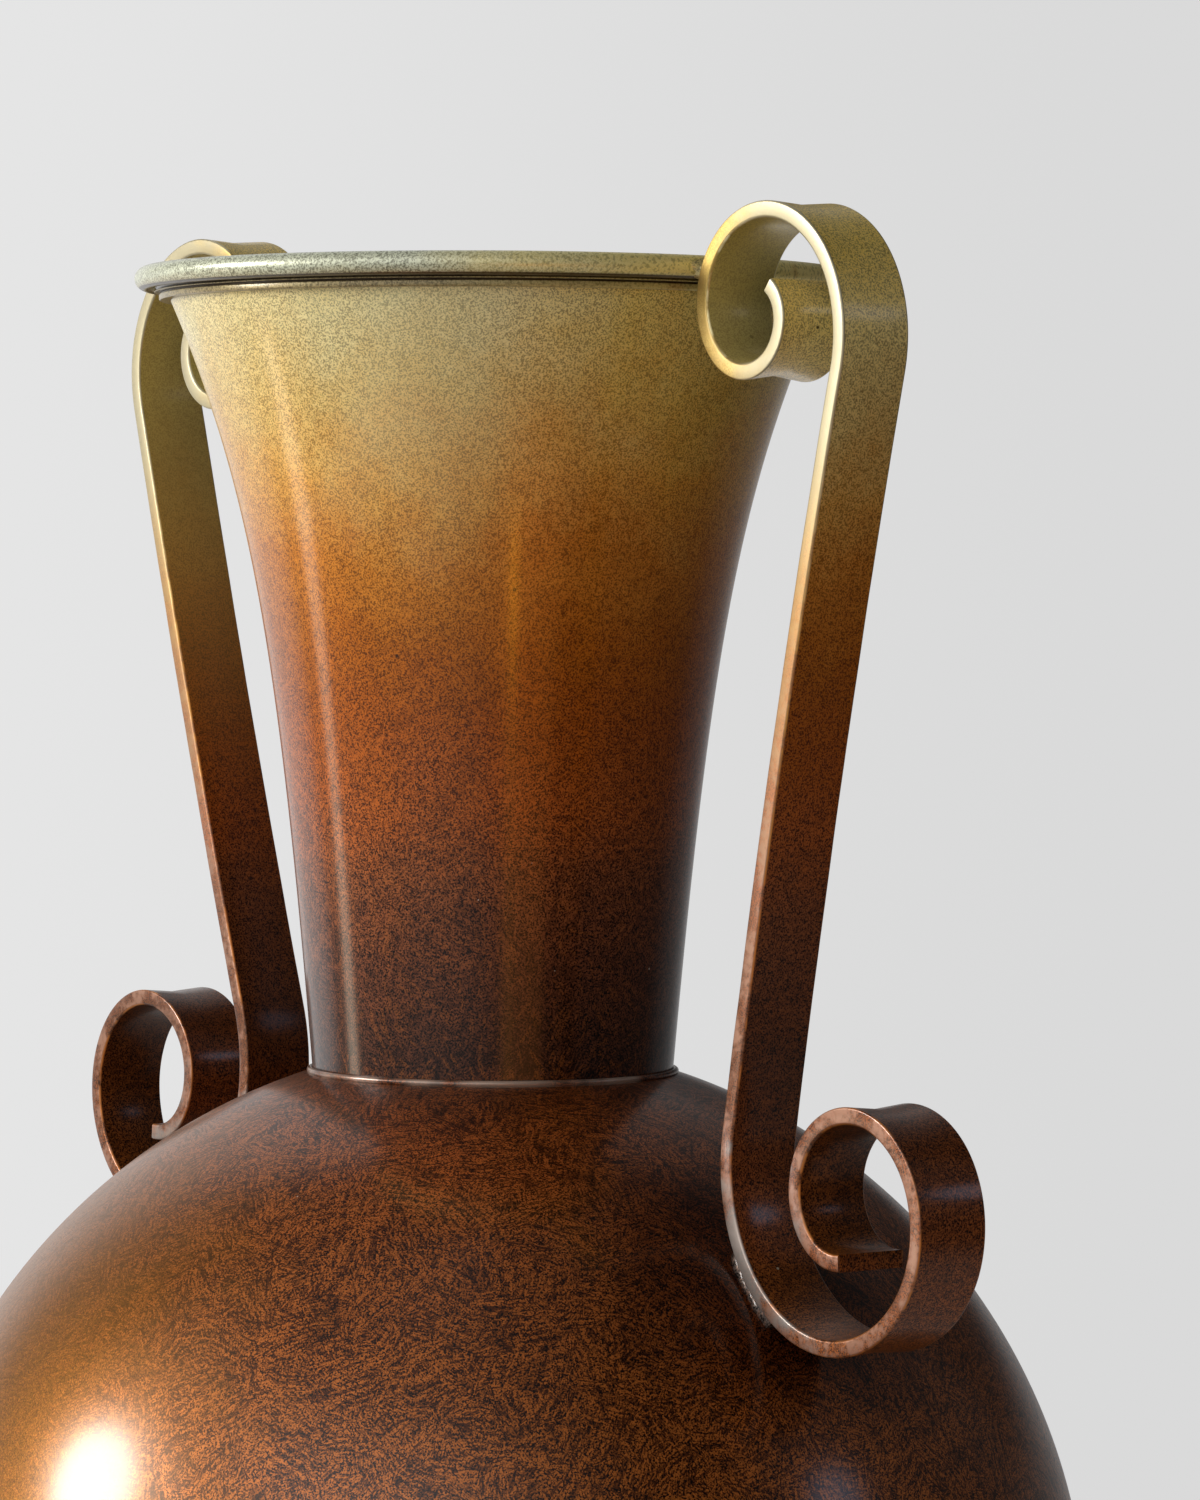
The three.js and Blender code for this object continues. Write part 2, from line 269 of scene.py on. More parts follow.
def softbox(name, at, size, brightness, colour="#ffffff"):
    """An oval lamp that faces the vase. It stands at an azimuth, counted from the camera and negative to
    the left, an elevation and a distance in mm, and its size is its width and height in mm."""
    lamp = bpy.data.lights.new(name, "AREA")
    lamp.shape = "ELLIPSE"
    lamp.size = size[0] * MM
    lamp.size_y = size[1] * MM
    lamp.energy = brightness * math.pi * lamp.size * lamp.size_y * math.pi / 4
    lamp.color = tone(colour)[:3]
    azimuth, elevation = math.radians(at[0]), math.radians(at[1])
    level = TO_RIGHT * math.sin(azimuth) + TO_CAMERA * math.cos(azimuth)
    way = level * math.cos(elevation) + UP * math.sin(elevation)
    thing = bpy.data.objects.new(name, lamp)
    thing.location = (UP * AIM_HEIGHT + way * at[2]) * MM
    thing.rotation_euler = way.to_track_quat("Z", "Y").to_euler()
    thing.visible_camera = False
    scene.collection.objects.link(thing)


softbox("key_softbox", (-87.5, 17, 1500), (560, 450), 23.0)
softbox("key_surround", (-84, 17, 1520), (1100, 680), 2.5, "#fff4e4")
softbox("neck_strip", (-98.5, -13, 1500), (230, 400), 5.4, "#ffe9cf")
softbox("side_window", (74, 20, 1700), (360, 280), 1.7, "#d7e2ff")
softbox("front_strip", (9, -19, 1700), (120, 190), 8.5, "#ffa81c")
softbox("front_glow", (17, -18, 1750), (900, 480), 1.0, "#ff9c40")

# %% [markdown]
# ## The floor
# A pale round floor carries the vase and its shadow, and fades out to the wall's own grey, so no horizon
# crosses the picture. Fading it with a Transparent shader by distance from the axis needs no second object.

# %% Floor
FLOOR_RADIUS = 1500
FLOOR_FADE = (260, 900)
FLOOR_SIDES = 96


def new_material(name):
    """A material with an empty node tree, as a Wire to build from."""
    material = bpy.data.materials.new(name)
    material.use_nodes = True
    material.node_tree.nodes.clear()
    return material, Wire(material.node_tree)


floor_finish, here = new_material("floor_paper")
spot = here.node("ShaderNodeTexCoord", output="Object")
away = spot.vector("LENGTH", output="Value") / MM
paper = here.node("ShaderNodeBsdfDiffuse", sockets={"Color": tone("#d9d8d5")})
clear = here.node("ShaderNodeBsdfTransparent")
faded = here.node("ShaderNodeMixShader", sockets={0: away.between(*FLOOR_FADE), 1: paper, 2: clear})
here.node("ShaderNodeOutputMaterial", sockets={"Surface": faded})
floor_mesh = bpy.data.meshes.new("floor")
turns = [math.tau * step / FLOOR_SIDES for step in range(FLOOR_SIDES)]
corners = [(FLOOR_RADIUS * MM * math.cos(a), FLOOR_RADIUS * MM * math.sin(a), 0) for a in turns]
floor_mesh.from_pydata(corners, [], [range(FLOOR_SIDES)])
floor = bpy.data.objects.new("floor", floor_mesh)
floor_mesh.materials.append(floor_finish)
scene.collection.objects.link(floor)
print("floor radius in mm:", FLOOR_RADIUS)

# %% [markdown]
# ## The patina
# The colour of the metal is a fade by height, from olive gold to red-brown, broken up by clouds. Over it
# lie slim leaf-shaped flakes in bundles, like frost on glass: each bundle has a direction of its own. One
# way to get them is to give every cell of a Voronoi pattern a random direction and to squeeze space along
# it before a second Voronoi pattern reads it, so that one's cells come out long and slim. That needs no
# image and no unwrapping, and it runs on across every piece, because all of them read Object coordinates
# in one frame.

# %% The fade by height
FADE_LOW = 150
FADE_HIGH = 372
FADE = (
    (150, "#c16d2b"), (200, "#b9642c"), (214, "#522f1f"), (221, "#623721"), (233, "#764227"),
    (247, "#94532b"), (262, "#b76023"), (276, "#b45e18"), (291, "#b96817"), (306, "#cf822a"),
    (320, "#e1a74f"), (335, "#e8c678"), (350, "#f1e2a5"), (372, "#dcc26c"))


def fade_at(level, fade):
    """The colour that a fade has at a height in mm."""
    span = FADE_HIGH - FADE_LOW
    share = (level - FADE_LOW) / span
    stops = [((at - FADE_LOW) / span, tone(card)) for at, card in fade]
    return share.node("ShaderNodeValToRGB", {"stops": stops}, {"Fac": share})


print("fade stops:", len(FADE))

# %% Clouds, cells and specks
DRIFT = (1.0, 0.7, 1.3)
SPECK_EDGE = 0.15


def noise(place, size, detail=2.0, output=0, distort=0.0, shift=0.0):
    """Cloudy noise with grains of about that size in mm. A shift picks another part of the pattern."""
    moved = place.vector("ADD", [shift * part for part in DRIFT])
    return place.node("ShaderNodeTexNoise", {"noise_dimensions": "3D"},
                      {"Vector": moved, "Scale": 1 / size, "Detail": detail, "Distortion": distort}, output)


def cells(place, size, output):
    """A Voronoi pattern with cells of about that size in mm."""
    return place.node("ShaderNodeTexVoronoi", sockets={"Vector": place, "Scale": 1 / size}, output=output)


def chances(cell):
    """A random number for each cell, with two more as the other outputs."""
    colour = cell.other("Color")
    return colour.node("ShaderNodeSeparateColor", sockets={0: colour})


def specks(place, spacing, radius, share, shift):
    """Sparse dots, one in some of the cells of a Voronoi pattern. Inside a dot the value is 1."""
    cell = cells(place.vector("ADD", (shift, shift, -shift)), spacing, "Distance")
    chance = chances(cell)
    size = chance.other(1) * radius / spacing
    return (size - cell).between(0, SPECK_EDGE * radius / spacing) * chance.math("LESS_THAN", share)


print("patterns drift apart along", DRIFT)

# %% [markdown]
# A flake has to lie in the surface, or it would only show its end as a dot. So each cell's direction is
# laid flat first, with the surface's direction at the cell's own middle: away from the centre on the globe,
# away from the axis on the turned pieces, and along the handle's plane on the straps.

# %% Flakes that lie in the surface
BODY_RADIUS = 110
FOOT_HEIGHT = 9
FOOT_WAIST = 51
FLAKE_EDGE = (0.38, 0.78)
FLAKE_BEND = 0.4
DULLEST_FLAKE = 0.3
MIDDLE_GREY = (0.5, 0.5, 0.5)
STRAP_LAY = (0.15, 1, 1)
body_centre = FOOT_HEIGHT + math.sqrt(BODY_RADIUS ** 2 - FOOT_WAIST ** 2)


def flat_on(way, outward):
    """The direction without its part along the outward direction."""
    return way.vector("SUBTRACT", outward.scaled(way.dot(outward)))


def on_globe(way, spot):
    return flat_on(way, spot.vector("SUBTRACT", (0, 0, body_centre)).vector("NORMALIZE"))


def on_turning(way, spot):
    return flat_on(way, spot.vector("MULTIPLY", (1, 1, 0)).vector("NORMALIZE"))


def on_strap(way, spot):
    return way.vector("MULTIPLY", STRAP_LAY)


def flakes(place, lay, bundle, length, width, shift):
    """Slim flakes of that length and width in mm, from 0 in the gaps to each flake's own brightness."""
    sway = noise(place, length, output="Color", shift=shift).vector("SUBTRACT", MIDDLE_GREY)
    frayed = place.vector("ADD", sway.scaled(bundle))
    cell = cells(frayed.vector("ADD", (shift, -shift, shift)), bundle, "Color")
    middle = cell.other("Position").vector("SUBTRACT", (shift, -shift, shift))
    way = lay(cell.vector("SUBTRACT", MIDDLE_GREY), middle).vector("NORMALIZE")
    bent = place.vector("ADD", sway.scaled(length * FLAKE_BEND))
    squeezed = bent.vector("ADD", way.scaled(bent.dot(way) * (width / length - 1)))
    flake = cells(squeezed, width, "Distance")
    brightness = chances(flake) * (1 - DULLEST_FLAKE) + DULLEST_FLAKE
    return flake.between(*FLAKE_EDGE, 1.0, 0.0) * brightness


print("globe centre at", round(body_centre, 2), "mm")

# %% [markdown]
# One function then makes every finish: the fade, the flakes, fine sand and a few pits and specks of dust,
# on metal under a clear lacquer. What only one piece has, such as soot and painted shade beside a joint or
# wear on an edge, comes from a small function of that piece, which gets the finished colour and lays its own
# over it.

# %% The finish itself
SHOULDER_BAND = (206, 222)
NECK_BAND = (235, 325)
SAND_BAND = (225, 325)


def patina(name, lay, fade=FADE, lift=0.0, waver=1.0, depth=(0.10, 0.90), rough=0.40, metal=0.32,
           coat=(0.65, 1.5, 0.15), extra=None):
    """Coloured bronze under lacquer. Lift is added to the height at which the fade is read, waver scales how
    far it strays from there, depth is how dark the gaps between the flakes are, at the rim and at the
    globe, and coat is the lacquer's share, refraction and roughness."""
    material, start = new_material(name)
    place = start.node("ShaderNodeTexCoord", output="Object").scaled(1 / MM)
    height = place.part("Z")
    clouds = noise(place, 26, detail=3.0, distort=0.4)
    mottle = noise(place, 6, detail=3.0, shift=31)
    freckle = noise(place, 1.3, shift=12)
    grain = noise(place, 0.32, detail=1.0, shift=5)
    stray = (clouds - 0.5) * 22 + (mottle - 0.5) * 12 + (freckle - 0.5) * 9 + (grain - 0.5) * 10
    colour = fade_at(height + lift + stray * waver, fade)

    leaf = flakes(place, lay, bundle=9, length=6.5, width=0.44, shift=11)
    felt = flakes(place, lay, bundle=4, length=2.8, width=0.24, shift=47)
    strand = flakes(place, lay, bundle=14, length=9, width=0.6, shift=83)
    blotch = noise(place, 4.0, detail=3.0, shift=73)
    feather = (leaf * 0.50 + felt * 0.50 + (blotch - 0.5) * 0.24).between(0.12, 0.62)
    low = height + lift + (clouds - 0.5) * 30
    neck_depth = 0.6 * depth[1]
    cut = low.between(*SHOULDER_BAND, depth[1], neck_depth)
    cut = cut - low.between(*NECK_BAND, 0.0, neck_depth - depth[0])
    colour = colour.blend(tone("#3a1d12"), (1 - feather) * cut, "MULTIPLY")
    colour = colour.blend(tone("#b4682a"), strand.between(0.55, 0.85) * cut * 0.3)
    voids = noise(place, 5.0, detail=4.0, shift=19).between(0.56, 0.68)
    colour = colour.blend(tone("#4a2c20"), voids * cut * 0.45, "MULTIPLY")
    sand = (grain * 0.85 + freckle * 0.15).between(0.37, 0.57, 1.0, 0.0)
    colour = colour.blend(tone("#33291a"), sand * low.between(*SAND_BAND, 1.0, 0.58), "MULTIPLY")

    pits = specks(place, spacing=6.0, radius=0.50, share=0.22, shift=17)
    dust = specks(place, spacing=6.5, radius=0.34, share=0.30, shift=59)
    colour = colour.blend(tone("#1d130d"), pits * 0.85)
    colour = colour.blend(tone("#d8cbbb"), dust * 0.7)
    polish = rough + (1 - feather) * 0.06 + (grain - 0.5) * 0.14
    finish = {"Base Color": colour, "Metallic": metal, "Roughness": polish, "Coat Weight": coat[0]}
    if extra:
        finish.update(extra(place, height, finish))

    relief = grain - pits * 2.0
    surface = start.node("ShaderNodeBump", sockets={
        "Strength": 0.3, "Distance": 0.02 * MM, "Height": relief})
    shader = start.node("ShaderNodeBsdfPrincipled", sockets={
        **finish, "Normal": surface, "Specular IOR Level": 0.1, "Coat IOR": coat[1],
        "Coat Roughness": coat[2]})
    start.node("ShaderNodeOutputMaterial", sockets={"Surface": shader})
    return material


print("heights of the fade in mm:", FADE_LOW, "to", FADE_HIGH)

# %% [markdown]
# The globe and the neck each carry marks of their own. The torch left soot where a strap was soldered on,
# and that patch is also painted shade from the strap. Round the foot of the neck the globe has painted
# shade, and on the side that faces the key softbox a painted golden glow. The upper neck has a pale painted
# reflection on one side and is yellower on the other. Painting them by hand would need an unwrapped map, so
# each mark is a distance with a ragged edge instead.

# %% Finishes of the globe, the neck and the base
JOINT = (80.4, 0, 181.5)
SEAM_LINE = (34.1, 34.4)
SOOT_AND_SHADE = tone("#5c3c30")


def soot_and_painted_light(place, height, finish):
    """Soot and painted shade beside one handle's joint, painted shade round the foot of the neck, a painted
    golden glow on the side that faces the key softbox, and a line of solder in the seam, also a painted
    glint."""
    from_joint = place.vector("DISTANCE", JOINT, output="Value")
    from_axis = place.vector("MULTIPLY", (1, 1, 0)).vector("LENGTH", output="Value")
    ragged = (noise(place, 9, detail=3.0, shift=41) - 0.5) * 26
    # Soot beside one handle's joint, which is also painted shade from the strap.
    soot_and_shade_by_joint = (from_joint + ragged).between(12, 42, 0.75, 0.0)
    # Painted shade on the globe round the foot of the neck.
    neck_foot_shade = (from_axis + ragged).between(36, 54, 0.25, 0.0) * height.between(150, 190)
    colour = finish["Base Color"].blend(SOOT_AND_SHADE, soot_and_shade_by_joint, "MULTIPLY")
    colour = colour.blend(SOOT_AND_SHADE, neck_foot_shade, "MULTIPLY")
    # Painted golden glow on the side that faces the key softbox, with a fine dark grain in it.
    painted_glow_side = (ragged - place.dot(TO_RIGHT)).between(26, 88)
    colour = colour.blend(tone("#94600f"), painted_glow_side * 0.68)
    glow_grain = noise(place, 0.3, detail=1.0, shift=77).between(0.36, 0.60)
    colour = colour.blend(tone("#5c4420"), (1 - glow_grain) * painted_glow_side * 0.5, "MULTIPLY")
    # A line of solder at the seam, its pale patches also a painted glint.
    solder_and_glint = from_axis.between(*SEAM_LINE, 1.0, 0.0) * noise(place, 12, shift=52).between(0.35, 0.60)
    return {"Base Color": colour.blend(tone("#b8a292"), solder_and_glint * 0.8)}


def painted_reflection_and_yellow_side(place, height, finish):
    """A pale painted reflection on the left front of the upper neck, and a yellower tone on its right side.
    """
    ragged = noise(place, 16, shift=28) - 0.5
    side = place.dot(TO_RIGHT) + ragged * 30
    upper = (height + ragged * 40).between(300, 334)
    # Painted reflection: a pale veil on the left front.
    pale = side.between(-36, -18) * side.between(-14, 10, 1.0, 0.0) * upper
    colour = finish["Base Color"].blend(tone("#f0f0c4"), pale * 0.16)
    return {"Base Color": colour.blend(tone("#fff2a8"), side.between(0, 34) * upper * 0.8, "MULTIPLY")}


body_patina = patina("body_patina", on_globe, lift=-8.0, metal=0.55, coat=(0.44, 1.8, 0.18),
                     extra=soot_and_painted_light)
neck_patina = patina("neck_patina", on_turning, depth=(0.10, 0.95), extra=painted_reflection_and_yellow_side)
base_bronze = patina("base_bronze", on_turning, ((150, "#7d4522"), (372, "#7d4522")))
print("finishes:", body_patina.name, neck_patina.name, base_bronze.name)

# %% [markdown]
# ## Turned pieces
# The globe, neck, rim, seam, foot and base plate are all rings about one axis. The Screw modifier could
# turn a drawn outline, but a few lines of mesh code keep the outline as a plain list of radius and height,
# round its corners, and close the mesh without any merging. Every outline is a closed loop, so each wall
# has its real thickness.

# %% Outline helpers
CORNER_SHARE = 0.48
CORNER_STEPS = 5


def arc(radius_at, height_at, radius, first, last, step):
    """Points on a circular arc, angles in degrees from the outward direction."""
    count = max(2, math.ceil(abs(last - first) / step)) + 1
    angles = np.radians(np.linspace(first, last, count))
    return [(radius_at + radius * math.cos(a), height_at + radius * math.sin(a), 0) for a in angles]


def bezier(first, pull_first, pull_last, last, count):
    """Points on a cubic curve between two ends."""
    pulls = np.array((first, pull_first, pull_last, last))
    points = []
    for t in np.linspace(0, 1, count):
        weights = np.array(((1 - t) ** 3, 3 * t * (1 - t) ** 2, 3 * t * t * (1 - t), t ** 3))
        points.append((*(weights @ pulls), 0))
    return points


def rounded(outline):
    """The closed outline with each corner replaced by an arc of its own radius, the third number."""
    points = []
    for i, (x, y, radius) in enumerate(outline):
        here = np.array((x, y))
        if not radius:
            points.append(here)
            continue
        to_last = np.array(outline[i - 1][:2]) - here
        to_next = np.array(outline[(i + 1) % len(outline)][:2]) - here
        reach = CORNER_SHARE * min(np.linalg.norm(to_last), np.linalg.norm(to_next))
        to_last, to_next = to_last / np.linalg.norm(to_last), to_next / np.linalg.norm(to_next)
        half = math.acos(np.clip(to_last @ to_next, -1, 1)) / 2
        cut = min(radius / math.tan(half), reach)
        radius = cut * math.tan(half)
        middle = here + (to_last + to_next) / np.linalg.norm(to_last + to_next) * radius / math.sin(half)
        for t in np.linspace(0, 1, CORNER_STEPS + 1):
            spoke = here + to_last * cut * (1 - t) + to_next * cut * t - middle
            points.append(middle + spoke / np.linalg.norm(spoke) * radius)
    return points


print("points on a quarter circle:", len(arc(0, 0, 1, 0, 90, 9)))

# %% Meshes from outlines
SEGMENTS = 240


def skin(name, grid, material, ring_closes=True, sharp=35):
    """A closed mesh over a grid of points in mm. Columns always close, and rows close or get end caps."""
    grid = np.asarray(grid, float)
    rows, columns = grid.shape[:2]
    faces = []
    for row in range(rows if ring_closes else rows - 1):
        below, above = row * columns, (row + 1) % rows * columns
        for column in range(columns):
            after = (column + 1) % columns
            faces.append((below + column, below + after, above + after, above + column))
    if not ring_closes:
        faces.append(tuple(reversed(range(columns))))
        faces.append(tuple(range((rows - 1) * columns, rows * columns)))
    mesh = bpy.data.meshes.new(name)
    mesh.from_pydata((grid.reshape(-1, 3) * MM).tolist(), [], faces)
    mesh.polygons.foreach_set("use_smooth", [True] * len(faces))
    mesh.set_sharp_from_angle(angle=math.radians(sharp))
    mesh.materials.append(material)
    mesh.validate()
    piece = bpy.data.objects.new(name, mesh)
    scene.collection.objects.link(piece)
    return piece


def turned(name, outline, material, capped=False):
    """Turns an outline of (radius, height, corner radius), drawn anticlockwise, about the axis. It is a
    closed loop, or begins and ends on the axis, where flat caps take the place of its end points."""
    points = np.array(rounded(outline))
    if capped:
        points = points[1:-1]
    angles = np.linspace(0, math.tau, SEGMENTS, endpoint=False)
    grid = np.empty((len(points), SEGMENTS, 3))
    grid[:, :, 0] = points[:, :1] * np.cos(angles)
    grid[:, :, 1] = points[:, :1] * np.sin(angles)
    grid[:, :, 2] = points[:, 1:]
    return skin(name, grid, material, ring_closes=not capped)


def dress(piece, node):
    """Lets a finished piece stand for its solid."""
    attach(piece, "root")
    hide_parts(node)
    low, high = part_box(node)
    mine = np.array([v.co for v in piece.data.vertices])
    drift = max(np.abs(mine.min(0) - low).max(), np.abs(mine.max(0) - high).max()) / MM
    print(f"{piece.name}: {len(piece.data.polygons)} faces, within {drift:.2f} mm of {node}")


print("segments round the axis:", SEGMENTS)

# %% [markdown]
# ### The globe
# The globe is raised from sheet: one wall of even thickness, open at the mouth for the neck and at the base
# for the foot. Two arcs about one centre make both faces of the wall, and the loop closes across the lips,
# which the neck and the foot cover.

# %% Globe
BODY_WALL = 1.6
FOOT_SEAT = 6.5
NECK_BASE_RADIUS = 33.2
SPIGOT_STEP = 1
FILM = 0.05

base_opening = FOOT_WAIST - FOOT_SEAT
spigot = NECK_BASE_RADIUS - SPIGOT_STEP
mouth = spigot + FILM


def tilt(radius, on_radius):
    """The angle above the equator at which a sphere has that distance from the axis."""
    return math.degrees(math.acos(radius / on_radius))


inner = BODY_RADIUS - BODY_WALL
globe_outline = arc(0, body_centre, BODY_RADIUS,
                    -tilt(base_opening, BODY_RADIUS), tilt(mouth, BODY_RADIUS), 1.2)
globe_outline += arc(0, body_centre, inner, tilt(mouth, inner), -tilt(base_opening, inner), 2.4)
dress(turned("globe", globe_outline, body_patina), "globe_body")

# %% [markdown]
# ### Foot and base
# The foot is out of sight in the picture and only carries the vase: a low spreading ring hollowed to the
# globe, with a plate let in from below. Its waist is one curve from the rounded edge up to the globe.

# %% Foot ring and base plate
FOOT_SPREAD = 3.5
FOOT_EDGE = 1.4
FOOT_PULL = 1.2
FOOT_CORNER = 0.2
PLATE_CORNER = 0.25
BASE_THICKNESS = 1.8
BASE_LEDGE = 2


def shoulder(radius, sign=1):
    """Height of the globe's surface at a distance from the axis, above or below its middle."""
    return body_centre + sign * math.sqrt(BODY_RADIUS ** 2 - radius ** 2)


outer = FOOT_WAIST + FOOT_SPREAD
plate_bore = base_opening + BASE_LEDGE
foot_outline = [(plate_bore, 0, FOOT_CORNER)]
foot_outline += arc(outer - FOOT_EDGE, FOOT_EDGE, FOOT_EDGE, -90, 0, 9)
foot_outline += bezier((outer, FOOT_EDGE), (FOOT_WAIST + FOOT_PULL, 2 * FOOT_EDGE),
                       (FOOT_WAIST, 4 * FOOT_EDGE), (FOOT_WAIST, shoulder(FOOT_WAIST, -1)), 16)[1:]
foot_outline += [(base_opening, shoulder(base_opening, -1) - FILM, 0)]
foot_outline += [(base_opening, BASE_THICKNESS + FILM, 0), (plate_bore, BASE_THICKNESS + FILM, 0)]
dress(turned("foot", foot_outline, base_bronze), "foot_ring")

plate_edge = plate_bore - FILM
plate_outline = [(0, 0, 0), (plate_edge, 0, PLATE_CORNER),
                 (plate_edge, BASE_THICKNESS, PLATE_CORNER), (0, BASE_THICKNESS, 0)]
dress(turned("base", plate_outline, base_bronze, capped=True), "base_plate")

# %% [markdown]
# ### The neck
# The trumpet swells slowly and then flares to the lip. Only its two ends matter to the eye: how fast the
# radius grows at the foot and at the lip, and how far up that lasts. A cubic curve takes just those values.
# A thin bead of solder, partly sunk in both pieces, closes the seam at its foot.

# %% Neck and its seam
NECK_HEIGHT = 141.5
NECK_LIP_RADIUS = 60.1
NECK_BASE_FLARE = 0.084
NECK_BASE_REACH = 80.5
NECK_LIP_FLARE = 0.431
NECK_LIP_REACH = 33.4
NECK_WALL = 2
SPIGOT_DEPTH = 6
FIT = 0.3
SEAM_ROUND = 0.6
SEAM_OUT = 0.4
SEAM_UP = 0.3
SEAM_SUNK = 0.4
NECK_POINTS = 96

neck_base = shoulder(spigot) + FIT
neck_lip = neck_base + NECK_HEIGHT


def trumpet(inset):
    """The neck's curve from foot to lip, moved in by a wall's thickness for the bore."""
    low, high = NECK_BASE_RADIUS - inset, NECK_LIP_RADIUS - inset
    foot_pull = (low + NECK_BASE_FLARE * NECK_BASE_REACH, neck_base + NECK_BASE_REACH)
    lip_pull = (high - NECK_LIP_FLARE * NECK_LIP_REACH, neck_lip - NECK_LIP_REACH)
    return bezier((low, neck_base), foot_pull, lip_pull, (high, neck_lip), NECK_POINTS)


bore = NECK_BASE_RADIUS - NECK_WALL
spigot_end = neck_base - SPIGOT_DEPTH
neck_outline = [(bore, spigot_end, 0), (spigot, spigot_end, 0), (spigot, neck_base, 0)]
neck_outline += trumpet(0) + trumpet(NECK_WALL)[::-1]
dress(turned("neck", neck_outline, neck_patina), "neck_trumpet")

seam_x = NECK_BASE_RADIUS + SEAM_OUT
seam_z = shoulder(seam_x) + SEAM_UP
seam_outline = [(NECK_BASE_RADIUS - SEAM_SUNK, shoulder(NECK_BASE_RADIUS) - SEAM_SUNK, 0)]
seam_outline += arc(seam_x, seam_z, SEAM_ROUND, -40, 155, 8)
dress(turned("seam", seam_outline, body_patina), "neck_seam")

# %% [markdown]
# ### The rim
# The rim is a turned ring over the lip: a round bead that stands out, and two fine steps under it. The
# steps are only a millimetre high, but their edges catch the light and their corners hold the dark, so each
# corner is rounded by a real amount.

# %% Outline of the rim
BEAD_RADIUS = 2.1
BEAD_OVERHANG = 4
BEAD_RISE = 2.7
RIM_STEP = 1.1
RIM_STEP_WIDTH = 1.2
RIM_TOP_FALL = 0.5
RIM_TOP_FLAT = 2.4
RIM_TOP_SLOPE = 0.3
BEAD_TUCK = 14
LINE = 0.35
LINE_HEIGHT = 0.15
EASE = 0.1

bead_x = NECK_LIP_RADIUS + BEAD_OVERHANG
bead_z = neck_lip + BEAD_RISE
bead_start = -math.degrees(math.acos(-RIM_STEP_WIDTH / BEAD_RADIUS))
bead_foot = bead_z + BEAD_RADIUS * math.sin(math.radians(bead_start))
upper_step = bead_x - RIM_STEP_WIDTH
lower_step = upper_step - RIM_STEP_WIDTH
skirt = bead_foot - 2 * RIM_STEP
skirt_bore = NECK_LIP_RADIUS - NECK_LIP_FLARE * (neck_lip - skirt)
lip_bore = NECK_LIP_RADIUS - NECK_WALL
inner_top = bead_z + BEAD_RADIUS - RIM_TOP_FALL
inner_edge = lip_bore + NECK_LIP_FLARE * (inner_top - neck_lip)
low_line = skirt + RIM_STEP + EASE
high_line = bead_foot - EASE
ridge = upper_step - LINE
rim_outline = [(skirt_bore, skirt, 0), (lower_step, skirt, 0.3), (lower_step, low_line - EASE, 0.25),
               (lower_step - LINE, low_line, 0.08), (lower_step - LINE, low_line + LINE_HEIGHT, 0.08),
               (ridge, low_line + LINE_HEIGHT + EASE, 0.2), (ridge, high_line - LINE - EASE, 0.2),
               (ridge - 1.5 * LINE, high_line - LINE, 0.1)]
rim_outline += arc(bead_x, bead_z, BEAD_RADIUS, bead_start - BEAD_TUCK, 90, 7)
rim_outline += [(inner_edge + RIM_TOP_FLAT, inner_top, 0.8), (inner_edge, inner_top - RIM_TOP_SLOPE, 0.9)]
rim_outline += [(lip_bore, neck_lip + FILM, 0), (NECK_LIP_RADIUS, neck_lip + FILM, 0)]
print("points of the rim's outline:", len(rim_outline))

# %% [markdown]
# The rim took the patina unevenly. The bead is a pale green gold, warmer on one side, and dark lines are
# left where the steps meet. The bands are only a millimetre or two high, so this fade hardly strays from
# its height, and the lines are found by their distance from the two corners.

# %% Rim
BEAD_TONE_LOW = 354.2
BEAD_TONE_FULL = 355.0
RIM_FADE = ((150, "#7f4627"), (351, "#96855b"), (353, "#a39367"), (BEAD_TONE_LOW, "#bcae7f"),
            (BEAD_TONE_FULL, "#d0d4bb"), (372, "#d0d4bb"))


def rim_lines(place, height, finish):
    """Dark patina left in the two lines, and gold showing on one side."""
    golden = place.dot(TO_RIGHT) + (noise(place, 14, shift=8) - 0.5) * 40
    on_bead = height.between(BEAD_TONE_LOW, BEAD_TONE_FULL, 0.5, 1.0)
    colour = finish["Base Color"].blend(tone("#f8e48c"), golden.between(-24, 36) * on_bead * 0.9)
    rust = noise(place, 7, detail=3.0, shift=91).between(0.54, 0.66)
    colour = colour.blend(tone("#b4762c"), rust * golden.between(10, 60) * 0.6)
    speck = noise(place, 0.6, detail=1.0, shift=3).between(0.36, 0.48)
    colour = colour.blend(tone("#5f5d3e"), (1 - speck) * 0.4, "MULTIPLY")
    for line, reach in ((low_line + 0.08, 0.22), (high_line - 0.1, 0.34)):
        shade = abs(height - line).between(0.5 * reach, reach, 0.9, 0.0)
        colour = colour.blend(tone("#2a150d"), shade)
    return {"Base Color": colour}


rim_patina = patina("rim_patina", on_turning, RIM_FADE, waver=0.08, depth=(0.0, 0.0), metal=0.3,
                    rough=0.36, coat=(0.55, 1.5, 0.16), extra=rim_lines)
dress(turned("rim", rim_outline, rim_patina), "rim_ring")

# %% [markdown]
# ## The scrolled straps
# Each handle is one flat bar. A bar bent round a tapering stake closes in by the same share in every
# quarter turn, which is a logarithmic spiral, so both scrolls follow one formula. A run with a shallow bow
# joins them, and leaves each scroll in its own direction. The two bars were bent by hand, so their radii,
# seats and bows differ. Bending also curls a bar across its width, edges outwards, like the back of a
# saddle. Geometry Nodes suit this best: the tree places points by the formula, sweeps a rounded bar along
# them and lifts its edges in the bends, and every size stays an input that can be tried by hand.

